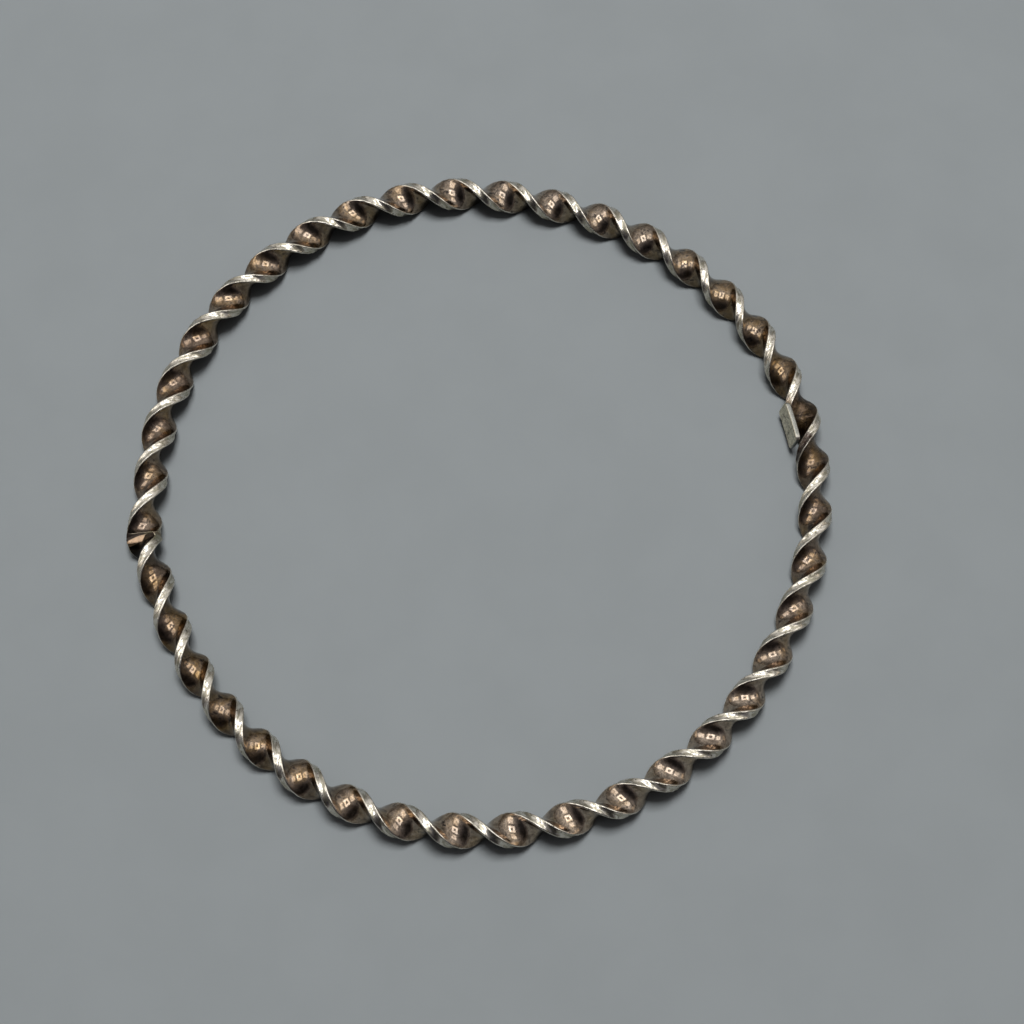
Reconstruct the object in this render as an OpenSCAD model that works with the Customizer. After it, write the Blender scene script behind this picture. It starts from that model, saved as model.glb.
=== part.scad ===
// Round bangle of flat silver strip, twisted along its whole length, bent into a ring and soldered shut,
// with a small plain plate soldered on its inner side. It lies flat. All sizes are in millimetres.

/* [Strip] */
// Width of the flat strip, across its broad faces
strip_w = 3.35; // [2.5:0.05:4]
// Thickness of the flat strip, across its narrow edges
strip_t = 1.25; // [0.8:0.05:1.8]
// Cut across each long corner of the strip, which wear has rounded
corner_cut = 0.15; // [0.05:0.01:0.3]

/* [Ring] */
// Mean radius of the strip's centre line
ring_r = 34.7; // [32:0.1:38]
// Half turns of right-hand twist in the whole ring
half_turns = 40; // [30:2:48]

/* [Solder joint] */
// Where the strip's two ends meet, counted from +X towards +Y
joint_angle = 190; // [170:1:210]
// Length at each end that stayed straight, so that the ring has a slight corner there
straight_end = 7; // [4:0.5:8]
// Length of the run of solder on the inner side of the ring
solder_l = 0.4; // [0.2:0.1:0.8]
// How much the run of solder widens towards the outer side, in degrees
solder_spread = 6; // [2:1:10]
// How far the solder stands proud of the strip
solder_proud = 0.06; // [0.02:0.01:0.1]

/* [Plate] */
// Length of the soldered plate, along the ring
plate_l = 4.2; // [3:0.1:5]
// Height of the plate, which stands almost upright
plate_h = 2.6; // [2:0.1:2.8]
// Thickness of the plate
plate_t = 0.5; // [0.3:0.1:0.8]
// How far the plate's outer face is sunk into the strip's inner edge
plate_sunk = 0.15; // [0.1:0.05:0.4]
// Angle of the plate's middle round the ring
plate_angle = 14; // [12:0.5:16]
// Height of the plate's middle above the strip's centre line
plate_rise = 0.2; // [0:0.05:0.3]
// How far the plate's top leans outwards from upright, in degrees
plate_lean = 5; // [0:1:8]

/* [Hidden] */

// The ring isn't quite round and its twist isn't quite even. A row for each station round it: the angle,
// how far the centre line lies outside ring_r, and how far the twist is ahead of an even one, in degrees
ANGLE = 0;
SWELL = 1;
LEAD = 2;
STATIONS = [
    [0, -0.2, 18],
    [15, 0.05, 14],
    [45, -0.3, 8],
    [75, -0.2, 2],
    [105, 0.65, -6],
    [135, 0.2, -12],
    [165, -0.35, -30],
    [182, -0.55, -24],
    [195, -0.5, -34],
    [210, -0.5, -34],
    [240, 0.05, 2],
    [270, 0.7, 20],
    [300, 0.35, 22],
    [330, -0.35, 28],
];
// Twist at +X, from the strip standing on its edge
twist_start = -56;
twist_per_degree = half_turns / 2;

// Slices through each half turn, and in the whole ring
slices_per_half_turn = 12;
slices = half_turns * slices_per_half_turn;
slice_angle = 360 / slices;
// Angle that a length along the centre line takes up
degrees_per_mm = 180 / (PI * ring_r);

strip_color = [0.36, 0.29, 0.24];
solder_color = [0.62, 0.47, 0.36];
plate_color = [0.78, 0.77, 0.73];

// A station's value, with the table carried on past its ends as the ring is
function station(i, column) =
    let (count = len(STATIONS), lap = floor(i / count))
    STATIONS[i - lap * count][column] + (column == ANGLE ? 360 * lap : 0);

// How fast a value changes at a station, from the stations on both sides of it
function slope(i, column) =
    (station(i + 1, column) - station(i - 1, column)) / (station(i + 1, ANGLE) - station(i - 1, ANGLE));

// A smooth curve through the stations' values
function smooth_value(angle, column) =
    let (
        i = max([for (k = [0 : len(STATIONS) - 1]) if (STATIONS[k][ANGLE] <= angle) k]),
        span = station(i + 1, ANGLE) - station(i, ANGLE),
        t = (angle - station(i, ANGLE)) / span,
        ease = t * t * (3 - 2 * t)
    )
    station(i, column) * (1 - ease) + station(i + 1, column) * ease
    + slope(i, column) * span * t * (1 - t) * (1 - t)
    - slope(i + 1, column) * span * t * t * (1 - t);

// An angle brought into 0 to 360
function lap_angle(angle) = angle - 360 * floor(angle / 360);

// How far the straight ends stand outside the round: a tangent's rise from where it leaves the circle
function joint_rise(angle) =
    let (
        away = abs(lap_angle(angle - joint_angle + 180) - 180) / degrees_per_mm,
        run = max(straight_end - away, 0)
    )
    run * run / (2 * ring_r);

// Distance of the strip's centre line from the ring's middle, and a point on that line
function path_r(angle) = ring_r + smooth_value(lap_angle(angle), SWELL) + joint_rise(angle);
function path_point(angle) = path_r(angle) * [cos(angle), sin(angle), 0];

// Turn of the strip's width about the centre line, from upright
function twist(angle) = twist_start + twist_per_degree * angle + smooth_value(lap_angle(angle), LEAD);

// Outline of the strip's section, as [across the width, across the thickness], with a point in the middle
// of each broad face
function outline(proud) =
    let (w = strip_w / 2 + proud, t = strip_t / 2 + proud, c = corner_cut)
    [
        [w - c, t], [w, t - c], [w, c - t], [w - c, -t], [0, -t],
        [c - w, -t], [-w, c - t], [-w, t - c], [c - w, t], [0, t]
    ];

// The section's outline in space, square to the centre line and turned by the twist
function slice(angle, proud = 0) =
    let (
        ahead = path_point(angle + slice_angle) - path_point(angle - slice_angle),
        along = ahead / norm(ahead),
        outward = cross(along, [0, 0, 1]),
        turn = twist(angle),
        across = [0, 0, cos(turn)] + sin(turn) * outward,
        through = cross(along, across)
    )
    [for (p = outline(proud)) path_point(angle) + p.x * across + p.y * through];

SIDES = len(outline(0));
BAND_SLICES = [for (i = [0 : slices - 1]) slice(joint_angle + i * slice_angle)];
BAND_POINTS = [for (ring = BAND_SLICES) for (p = ring) p];

// The band's walls, two triangles to each side of each slice. The cut between the two runs the other way
// on every second side, so that a twisted face's two halves mirror each other
BAND_FACES = [
    for (i = [0 : slices - 1], j = [0 : SIDES - 1], half = [0, 1])
        let (
            here = i * SIDES,
            next = ((i + 1) % slices) * SIDES,
            k = (j + 1) % SIDES
        )
        j % 2 == 0
            ? (half == 0 ? [here + j, next + k, next + j] : [here + j, here + k, next + k])
            : (half == 0 ? [here + j, here + k, next + j] : [here + k, next + k, next + j])
];

// The move that stands the band on z = 0 with its outline centred on the origin
BAND_LOW = [for (k = [0 : 2]) min([for (p = BAND_POINTS) p[k]])];
BAND_HIGH = [for (k = [0 : 2]) max([for (p = BAND_POINTS) p[k]])];
CENTRING = [-(BAND_LOW.x + BAND_HIGH.x) / 2, -(BAND_LOW.y + BAND_HIGH.y) / 2, -BAND_LOW.z];

// The twisted strip, closed on itself
module strip() {
    color(strip_color)
        polyhedron(points = BAND_POINTS, faces = BAND_FACES);
}

// The run of solder over the two ends, from a slice at the joint to one further on that is swung about the
// joint's inner edge
module solder() {
    inner_edge = (path_r(joint_angle) - strip_w / 2) * [cos(joint_angle), sin(joint_angle), 0];
    far_slice = slice(joint_angle + solder_l * degrees_per_mm, solder_proud);
    swing = [
        [cos(solder_spread), -sin(solder_spread), 0],
        [sin(solder_spread), cos(solder_spread), 0],
        [0, 0, 1]
    ];
    ends = concat(slice(joint_angle, solder_proud), [for (p = far_slice) inner_edge + swing * (p - inner_edge)]);
    walls = [for (j = [0 : SIDES - 1]) [j, (j + 1) % SIDES, SIDES + (j + 1) % SIDES, SIDES + j]];
    caps = [[for (j = [0 : SIDES - 1]) SIDES - 1 - j], [for (j = [0 : SIDES - 1]) SIDES + j]];
    color(solder_color)
        hull()
            polyhedron(points = ends, faces = concat(walls, caps));
}

// The plate, almost upright against the strip where the strip's width lies level
module plate() {
    outer_face_r = path_r(plate_angle) - strip_w / 2 + plate_sunk;
    color(plate_color)
        rotate([0, 0, plate_angle])
            translate([outer_face_r - plate_t / 2, 0, plate_rise])
                rotate([0, plate_lean, 0])
                    cube([plate_t, plate_l, plate_h], center = true);
}

// Everything is soldered together, so it is one solid
module twisted_band() {
    translate(CENTRING) {
        strip();
        solder();
        plate();
    }
}

twisted_band();
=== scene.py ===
"""Builds the looks of a round bangle, a flat silver strip twisted along its length, on a plain pale floor."""

import bpy
import numpy as np
from bpy.props import FloatProperty, FloatVectorProperty, IntProperty, PointerProperty
from mathutils import Euler, Matrix, Vector


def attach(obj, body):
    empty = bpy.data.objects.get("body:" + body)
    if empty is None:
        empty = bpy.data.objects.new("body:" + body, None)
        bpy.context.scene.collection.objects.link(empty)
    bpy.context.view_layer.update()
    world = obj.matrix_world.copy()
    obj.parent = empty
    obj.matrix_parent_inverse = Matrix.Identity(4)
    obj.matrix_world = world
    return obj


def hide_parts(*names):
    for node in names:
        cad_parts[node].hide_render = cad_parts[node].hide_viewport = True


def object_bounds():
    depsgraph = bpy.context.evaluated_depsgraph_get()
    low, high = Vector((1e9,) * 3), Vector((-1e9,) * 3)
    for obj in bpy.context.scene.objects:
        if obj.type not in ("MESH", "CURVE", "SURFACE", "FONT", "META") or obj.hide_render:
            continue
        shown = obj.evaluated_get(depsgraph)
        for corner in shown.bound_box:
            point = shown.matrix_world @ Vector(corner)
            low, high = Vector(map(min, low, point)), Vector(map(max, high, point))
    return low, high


bl_info = {
    "name": "Twisted Strip Bangle",
    "version": (1, 0, 0),
    "blender": (4, 5, 0),
    "location": "3D View > Sidebar > Bangle",
    "description": "Builds a twisted strip bangle with its tarnish, solder, plate and a plain studio",
    "category": "Add Mesh",
}

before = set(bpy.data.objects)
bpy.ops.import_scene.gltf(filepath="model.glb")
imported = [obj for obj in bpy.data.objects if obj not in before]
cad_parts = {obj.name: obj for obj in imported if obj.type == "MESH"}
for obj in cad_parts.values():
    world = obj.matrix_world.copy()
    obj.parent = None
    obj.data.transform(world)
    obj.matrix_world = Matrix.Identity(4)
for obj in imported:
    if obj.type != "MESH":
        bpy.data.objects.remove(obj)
CAD_LOW, CAD_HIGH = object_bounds()

MM = 0.001
LAP = 360.0
BODY = "root"
CAD_BAND = "twisted_band"

# The ring isn't quite round and its twist isn't quite even. Each row is a station round it: its angle, how
# far the centre line lies outside the mean radius in mm, and the twist's lead over an even one in degrees
ANGLE, SWELL, LEAD = 0, 1, 2
STATIONS = np.array([
    (0, -0.2, 18),
    (15, 0.05, 14),
    (45, -0.3, 8),
    (75, -0.2, 2),
    (105, 0.65, -6),
    (135, 0.2, -12),
    (165, -0.35, -30),
    (182, -0.55, -24),
    (195, -0.5, -34),
    (210, -0.5, -34),
    (240, 0.05, 2),
    (270, 0.7, 20),
    (300, 0.35, 22),
    (330, -0.35, 28),
])

# How the tarnish differs round the ring. Each row is an angle with the shares, from 0 to 1, of golden film,
# of black spots, of rubbed, paler metal, of dull, rough film, of film that is darker all over, and of
# darkening wherever the strip doesn't face up, which is partly darker film and partly painted shade
GOLD, SPOTS, PALE, DULL, DARK, UNDER_FILM_AND_SHADE = range(1, 7)
TARNISH = np.array([
    (5, 0.4, 0.75, 0.05, 0.15, 0.5, 0.2),
    (15, 0.25, 0.85, 0.0, 1.0, 0.85, 0.4),
    (25, 0.9, 0.65, 0.25, 0.0, 0.5, 0.9),
    (45, 0.85, 0.7, 0.55, 0.0, 0.2, 0.9),
    (65, 0.5, 0.65, 0.7, 0.0, 0.0, 0.65),
    (90, 0.25, 0.6, 0.7, 0.0, 0.0, 0.5),
    (120, 0.35, 0.55, 0.4, 0.05, 0.1, 0.5),
    (150, 0.15, 0.4, 0.1, 0.05, 0.3, 0.0),
    (166, 0.1, 0.45, 0.05, 0.2, 0.3, 0.0),
    (185, 0.05, 0.4, 0.15, 0.05, 0.4, 0.1),
    (200, 0.25, 0.45, 0.05, 0.0, 0.5, 0.5),
    (218, 0.6, 0.6, 0.15, 0.0, 0.5, 1.0),
    (238, 0.5, 0.5, 0.35, 0.0, 0.2, 0.9),
    (258, 0.3, 0.4, 0.55, 0.0, 0.05, 0.3),
    (280, 0.3, 0.35, 0.65, 0.0, 0.0, 0.15),
    (310, 0.25, 0.45, 0.7, 0.0, 0.0, 0.05),
    (340, 0.25, 0.6, 0.35, 0.05, 0.15, 0.1),
])

# The solder's collar over the joint. Each row is a place across the strip, with where the solder starts and
# ends along it past the joint, all in mm. It only makes a ridge on one half, and spreads over the other
ACROSS, START, END = range(3)
COLLAR = np.array([
    (-1.6, -0.5, -0.25),
    (-1.2, -0.5, -0.2),
    (-0.6, -0.46, 0.1),
    (-0.15, -0.41, 0.5),
    (0.0, -0.39, 0.62),
    (1.6, -0.36, 0.27),
])

# Lengths past the joint at which soldering's burn and smoke, and the hammered swelling of one edge, each
# begin, are whole, begin to fade and end. Far past the joint the burn is painted shade on the faces
BURN_AND_SHADE = MM * np.array((-0.6, -0.4, 1.2, 4.5))
SMOKE = MM * np.array((-1.4, -0.5, 0.8, 1.5))
HAMMERED = MM * np.array((0.0, 0.9, 2.2, 4.2))

# The studio's lamps, at one distance in metres. Each row leans from straight overhead towards +X and towards
# +Y, and spans angles across and deep, all in degrees as the bangle sees them, then its glow and the share of
# amber in its light
LAMP_DISTANCE = 0.7
LEAN_X, LEAN_Y, WIDE, DEEP, GLOW, AMBER = range(6)
LAMPS = (
    (-49, 6, 34, 26, 1.15, 0.2),
    (43.5, 6, 23, 26, 1.15, 0.2),
    (-78, 4, 10, 20, 0.4, 1.0),
    (75, 4, 10, 20, 0.4, 1.0),
)
# The overhead lamp is a square of light with a square hole in its middle, which spans this angle
OVERHEAD = (1, 5, 38, 38, 2.15, 0.0)
OVERHEAD_HOLE = 16
# The lamp that lights the floor, which the metal doesn't show. The others only show in the metal
KEY = (0, 14, 21, 21, 44, 0.05)

# The corners of a rectangle about its middle, anticlockwise, as shares of its half width and half height
CORNERS = ((1, 1), (-1, 1), (-1, -1), (1, -1))


def length_prop(name, description, default, low, high):
    """A length that the user can change, from values in mm."""
    return FloatProperty(
        name=name, description=description, default=default * MM, min=low * MM, max=high * MM,
        precision=6, subtype="DISTANCE", unit="LENGTH",
    )


def angle_prop(name, description, default):
    """An angle that the user can change, from a value in degrees."""
    return FloatProperty(
        name=name, description=description, default=np.radians(default), subtype="ANGLE", unit="ROTATION",
    )


def number_prop(name, description, default, low, high):
    """A plain number that the user can change."""
    return FloatProperty(name=name, description=description, default=default, min=low, max=high)


def colour_prop(name, description, default):
    """A colour that the user can change."""
    return FloatVectorProperty(
        name=name, description=description, default=default, min=0, max=1, subtype="COLOR",
    )


class StripSettings(bpy.types.PropertyGroup):
    """Sizes of the twisted strip and its ring."""

    width: length_prop("Width", "Across the strip's broad faces", 3.35, 2.5, 4)
    thickness: length_prop("Thickness", "Across the strip's narrow edges", 1.25, 0.8, 1.8)
    corner: length_prop("Corner", "Radius of the strip's long corners, rounded by wear", 0.2, 0.05, 0.4)
    ring: length_prop("Ring Radius", "Mean radius of the strip's centre line", 34.7, 32, 38)
    half_turns: IntProperty(
        name="Half Turns", description="Half turns of right-hand twist in the whole ring",
        default=40, min=30, max=48, step=2,
    )
    twist_start: angle_prop("Twist Start", "Turn of the strip's width from upright, at +X", -56)
    dents: length_prop("Dents", "Depth of the dents and ripples that wear has left", 0.012, 0, 0.05)


class JointSettings(bpy.types.PropertyGroup):
    """Sizes of the soldered joint between the strip's two ends."""

    angle: angle_prop("Angle", "Where the strip's ends meet, from +X towards +Y", 190)
    straight: length_prop("Straight End", "Length at each end that stayed straight", 7, 0, 8)
    hold_start: length_prop("Hold Start", "Where the twist stops, past the joint", -0.1, -1, 1)
    held: length_prop("Held Length", "Length that isn't twisted, where the end was held", 0.65, 0, 2)
    catch_up: length_prop("Catch Up", "Length over which the twist catches up with an even one", 1.3, 0.5, 3)
    swell: length_prop("Swell", "How much thicker one edge is past the joint, hammered", 0.36, 0, 0.5)
    ridge: length_prop("Ridge", "Height of the solder's thin ridge", 0.045, 0, 0.1)
    skin: length_prop("Skin", "How far the rest of the solder stands out of the strip", 0.012, 0.005, 0.1)


class PlateSettings(bpy.types.PropertyGroup):
    """Sizes and place of the small plate soldered on the ring's inner side."""

    length: length_prop("Length", "Along the ring", 4.4, 3, 5)
    height: length_prop("Height", "Of the plate, which stands almost upright", 2.6, 2, 2.8)
    thickness: length_prop("Thickness", "Through the plate", 0.53, 0.3, 0.8)
    sunk: length_prop("Sunk", "How far the outer face is sunk into the strip's inner edge", 0.28, 0.1, 0.4)
    bow: length_prop("Bow", "How far the plate's middle stands outwards of its two ends", 0.07, 0, 0.3)
    rise: length_prop("Rise", "Height of the plate's middle above the strip's centre line", 0.2, 0, 0.3)
    angle: angle_prop("Angle", "Of the plate's middle round the ring", 14)
    lean: angle_prop("Lean", "How far the plate's top leans outwards from upright", 8)


class FinishSettings(bpy.types.PropertyGroup):
    """Colours of the metal and its tarnish."""

    brown: colour_prop("Brown Tarnish", "The broad faces' usual film", (0.335, 0.248, 0.184))
    gold: colour_prop("Golden Tarnish", "Where the film is thin", (0.5, 0.325, 0.15))
    black: colour_prop("Black Tarnish", "Spots and pits where the film is thick", (0.05, 0.04, 0.035))
    pale: colour_prop("Rubbed Tarnish", "Broad faces that handling has kept paler", (0.5, 0.415, 0.335))
    silver: colour_prop("Silver", "Narrow edges, worn bright", (0.8, 0.75, 0.66))
    scuff: colour_prop("Scuffs", "Dull olive grey of scuffs and thin tarnish on silver", (0.28, 0.255, 0.17))
    stain: colour_prop("Heat Stain", "Dark stain that soldering the plate has left", (0.03, 0.018, 0.014))
    solder: colour_prop("Solder", "The coppery run of solder", (0.5, 0.355, 0.24))
    plate: colour_prop("Plate", "The plain silver plate", (0.76, 0.7, 0.54))
    rim: colour_prop("Plate's Rim", "Grey of the plate's rim", (0.33, 0.345, 0.335))


class StageSettings(bpy.types.PropertyGroup):
    """The floor, the studio's light and the camera."""

    floor: colour_prop("Floor", "Colour of the plain floor", (0.1, 0.109, 0.113))
    room: number_prop("Room", "Brightness of the studio's walls and ceiling", 0.4, 0, 2)
    shade: number_prop("Shade", "Brightness of the dark side, behind the camera", 0.024, 0, 1)
    glow: number_prop("Lamps", "Scales every lamp's glow", 1.0, 0, 4)
    lens: number_prop("Lens", "Focal length for a sensor 36 mm wide, in mm", 64.98, 20, 200)
    camera_distance: length_prop(
        "Camera Distance", "From the point that the camera looks at", 191.84, 100, 1000,
    )
    camera_tilt: angle_prop("Camera Tilt", "From straight down, towards the bangle's +Y side", 21)
    camera_roll: angle_prop("Camera Roll", "Anticlockwise turn of the camera about its own axis", 1.2735)
    aim: FloatVectorProperty(
        name="Aim", description="Point on the floor that the camera looks at, from the ring's middle",
        default=(3.229 * MM, -1.692 * MM, 0.066 * MM), precision=6, subtype="TRANSLATION", unit="LENGTH",
    )


def unit(vectors):
    """Each vector divided by its own length."""
    return vectors / np.linalg.norm(vectors, axis=-1, keepdims=True)


def ease(value, low, high):
    """Smoothly from 0 at low to 1 at high, as 3 t^2 - 2 t^3, and held at both ends."""
    t = np.clip((value - low) / (high - low), 0, 1)
    return t * t * (3 - 2 * t)


def bell(value, middle, spread):
    """A bell curve, 1 in the middle and 1 / e at the spread on either side."""
    return np.exp(-(((value - middle) / spread) ** 2))


def window(value, start, whole, fade, end):
    """Smoothly from 0 at the start to 1 where it is whole, and back from 1 where it fades to 0 at the end."""
    return ease(value, start, whole) * (1 - ease(value, fade, end))


def smooth_value(table, angle, column):
    """A smooth closed curve through one column of a table whose first column is an angle.

    Between two rows the value eases from one to the other as 3 t^2 - 2 t^3. Each row's slope, which is that
    between its two neighbours, adds t (1 - t)^2 after the row and takes t^2 (1 - t) before the next.
    """
    laps = np.vstack([table + (LAP * k, *[0] * (table.shape[1] - 1)) for k in (-1, 0, 1)])
    place, value = laps[:, ANGLE], laps[:, column]
    slope = (np.roll(value, -1) - np.roll(value, 1)) / (np.roll(place, -1) - np.roll(place, 1))
    angle = np.mod(angle, LAP)
    i = np.searchsorted(place, angle, side="right") - 1
    span = place[i + 1] - place[i]
    t = (angle - place[i]) / span
    share = ease(t, 0, 1)
    bend = slope[i] * t * (1 - t) ** 2 - slope[i + 1] * t * t * (1 - t)
    return value[i] * (1 - share) + value[i + 1] * share + span * bend


def past_joint(angle, strip, joint):
    """Length along the centre line from the joint to each angle, from minus to plus half the ring."""
    turn = np.mod(angle - np.degrees(joint.angle) + LAP / 2, LAP) - LAP / 2
    return np.radians(turn) * strip.ring


def ring_path(angle, strip, joint):
    """Points of the centre line: at each angle the mean radius, its charted swell, and the joint's rise.

    The rise is that of a tangent above its circle, the square of the run over twice the radius.
    """
    run = np.maximum(joint.straight - np.abs(past_joint(angle, strip, joint)), 0)
    radius = strip.ring + smooth_value(STATIONS, angle, SWELL) * MM + run**2 / (2 * strip.ring)
    turn = np.radians(angle)
    return radius[..., None] * np.stack([np.cos(turn), np.sin(turn), np.zeros_like(turn)], -1)


def strip_twist(angle, strip, joint):
    """Turn of the strip's width from upright: an even twist with its charted lead, less the held end's lack.

    The twist stands still along the held length, and then eases back to what it would have been.
    """
    turns_per_lap = strip.half_turns / 2
    even = strip.twist_start + turns_per_lap * np.radians(angle)
    lead = np.radians(smooth_value(STATIONS, angle, LEAD))
    past = past_joint(angle, strip, joint)
    lack = turns_per_lap / strip.ring * np.clip(past - joint.hold_start, 0, joint.held)
    held_end = joint.hold_start + joint.held
    return even + lead - lack * (1 - ease(past, held_end, held_end + joint.catch_up))


def strip_axes(angle, strip, joint):
    """Centre line at each angle, with the strip's own directions across its width and through it.

    The line runs from a point a small step before the angle to one as far after it. The width is turned from
    upright by the twist, square to the line, and the way through is square to both.
    """
    step = 0.75
    centre = ring_path(angle, strip, joint)
    along = unit(ring_path(angle + step, strip, joint) - ring_path(angle - step, strip, joint))
    up = np.array((0.0, 0.0, 1.0))
    outward = np.cross(along, up)
    turn = strip_twist(angle, strip, joint)[..., None]
    across = np.cos(turn) * up + np.sin(turn) * outward
    return centre, across, np.cross(along, across)


def rounded_outline(width, height, radius, wide_steps, high_steps, corner_steps):
    """A rectangle with round corners, anticlockwise from the start of its first corner.

    Returns the points, their outward normals, and the length along the outline up to each point.
    """
    points, normals = [], []
    for k, (x, y) in enumerate(CORNERS):
        turn = np.radians(90) * (k + np.linspace(0, 1, corner_steps + 1))
        normal = np.stack([np.cos(turn), np.sin(turn)], -1)
        arc = np.array((x * (width / 2 - radius), y * (height / 2 - radius))) + radius * normal
        steps = wide_steps if k % 2 == 0 else high_steps
        following = np.array(CORNERS[(k + 1) % 4]) * (width / 2 - radius, height / 2 - radius)
        start = following + radius * normal[-1]
        side = np.linspace(arc[-1], start, steps + 1)[1:-1]
        points += [arc, side]
        normals += [normal, np.repeat(normal[-1:], len(side), 0)]
    points, normals = np.concatenate(points), np.concatenate(normals)
    lengths = np.linalg.norm(np.roll(points, -1, 0) - points, axis=1)
    return points, normals, np.concatenate([[0], np.cumsum(lengths)])


def ripple(along, around, seed, waves, fewest, most):
    """An uneven height, about -1 to 1, that closes on itself both ways.

    It is a sum of cosine waves, each with a whole number of waves along and around between the given limits
    and a phase of its own.
    """
    random = np.random.default_rng(seed)
    total = np.zeros(np.broadcast_shapes(along.shape, around.shape))
    for _ in range(waves):
        run = random.integers(fewest[0], most[0] + 1)
        lap = random.integers(-most[1], most[1] + 1)
        phase = random.uniform(0, 2 * np.pi)
        total += np.cos(2 * np.pi * (run * along + lap * around) + phase)
    return total / np.sqrt(waves)


def closed_quads(rows, columns):
    """Quads of a grid of points that closes on itself both ways, in rows of points."""
    row, column = np.mgrid[0:rows, 0:columns]
    next_row, next_column = (row + 1) % rows, (column + 1) % columns
    corners = (
        row * columns + column,
        row * columns + next_column,
        next_row * columns + next_column,
        next_row * columns + column,
    )
    return np.stack(corners, -1).reshape(-1, 4)


def make_piece(name, points, quads, triangles=None):
    """A smooth mesh from arrays of points, quads and triangles, with its object at the origin."""
    mesh = bpy.data.meshes.new(name)
    mesh.vertices.add(len(points))
    mesh.vertices.foreach_set("co", points.astype(np.float32).ravel())
    corners = [quads.ravel()]
    sizes = [np.full(len(quads), 4)]
    if triangles is not None:
        corners.append(triangles.ravel())
        sizes.append(np.full(len(triangles), 3))
    corners, sizes = np.concatenate(corners), np.concatenate(sizes)
    mesh.loops.add(len(corners))
    mesh.loops.foreach_set("vertex_index", corners)
    mesh.polygons.add(len(sizes))
    mesh.polygons.foreach_set("loop_start", np.concatenate([[0], np.cumsum(sizes)[:-1]]))
    mesh.polygons.foreach_set("use_smooth", np.ones(len(sizes), bool))
    mesh.update(calc_edges=True)
    mesh.validate()
    piece = bpy.data.objects.new(name, mesh)
    bpy.context.scene.collection.objects.link(piece)
    return piece


def set_attribute(piece, name, values):
    """Gives each of the piece's points a value that its material reads by name."""
    layer = piece.data.attributes.new(name, "FLOAT", "POINT")
    layer.data.foreach_set("value", values.astype(np.float32).ravel())


def set_map(piece, name, places):
    """Gives the piece a UV map from an array of places, one for each corner of each face."""
    layer = piece.data.uv_layers.new(name=name, do_init=False)
    layer.uv.foreach_set("vector", places.astype(np.float32).ravel())


def collar_line(x, column):
    """Length past the joint at which the solder starts or ends, at places across the strip."""
    return np.interp(x / MM, COLLAR[:, ACROSS], COLLAR[:, column]) * MM


def centring(strip, joint):
    """The move that centres the band on the origin and rests it on the floor.

    Its outline from above is centred, and its centre line is at half the height of the construction's box.
    """
    samples = 7200
    angle = np.linspace(0, LAP, samples, endpoint=False)
    centre, across, through = strip_axes(angle, strip, joint)
    half = np.array((strip.width / 2 - strip.corner, strip.thickness / 2 - strip.corner))
    low, high = np.full(3, np.inf), np.full(3, -np.inf)
    for x, y in CORNERS:
        corner = centre + x * half[0] * across + y * half[1] * through
        low = np.minimum(low, corner.min(0) - strip.corner)
        high = np.maximum(high, corner.max(0) + strip.corner)
    middle = -(low + high) / 2
    return np.array((middle[0], middle[1], (CAD_HIGH.z - CAD_LOW.z) / 2 - CAD_LOW.z))


def carry(angle, x, y, strip, joint):
    """Points x across and y through the strip's section, carried to each angle round the ring.

    Past the joint one edge is swollen. There y grows with its share of the thickness and with the square of
    the share of the width, by the swell.
    """
    past = past_joint(angle, strip, joint)
    share = (y / strip.thickness + 0.5) * (0.5 - x / strip.width) ** 2
    swollen = y + joint.swell * window(past, *HAMMERED) * share
    centre, across, through = strip_axes(angle, strip, joint)
    place = centre + x[..., None] * across + swollen[..., None] * through
    return place + centring(strip, joint)


def plate_place(points, strip, joint, plate):
    """The plate's own points, as thickness, length and height from its middle, carried to its place."""
    lean = np.array(Matrix.Rotation(plate.lean, 3, "Y"))
    turn = np.array(Matrix.Rotation(plate.angle, 3, "Z"))
    path_radius = np.linalg.norm(ring_path(np.degrees(np.array([plate.angle])), strip, joint))
    shift = (path_radius - strip.width / 2 + plate.sunk - plate.thickness / 2, 0, plate.rise)
    return (points @ lean.T + shift) @ turn.T + centring(strip, joint)


def strip_dents(run, lap, narrow, corner, depth):
    """How far wear has moved each point outwards, never above 0, and how deep a nick each point lies in.

    It is minus the depth times the sum of a long wave, a short wave on the narrow edges, and nicks, which
    are the peaks of a third wave and bite most into the corners. Each wave is uneven.
    """
    face_wave, edge_wave, edge_ripple, nicks = 0.45, 0.6, 1.05, 2.2
    wave = 1 + ripple(run, lap, 11, 36, (50, 0), (170, 4))
    small = 1 + ripple(run, lap, 12, 48, (140, 0), (380, 14))
    nick = np.clip(ripple(run, lap, 13, 60, (120, 0), (460, 9)) - 1.3, 0, 1.5)
    sunk = face_wave * wave * (1 - narrow) + (edge_wave * wave + edge_ripple * small) * narrow
    sunk = sunk + nicks * nick * np.maximum(corner, 0.35 * narrow)
    return np.minimum(-depth * sunk, 0), nick


def joint_marks(past, x):
    """Shares of the marks of soldering the joint, from the length past it and the place across the strip.

    They are a burn, which further past the joint is painted shade, with a thin dark seam just before the
    solder's start, and soot and smoke on the edges.
    """
    seam = collar_line(x, START) - 0.12 * MM
    return {
        "burn_and_shade": np.maximum(window(past, *BURN_AND_SHADE), bell(past, seam, 0.06 * MM)),
        "soot": bell(past, -0.1 * MM, 0.4 * MM),
        "smoke": window(past, *SMOKE),
    }


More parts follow.
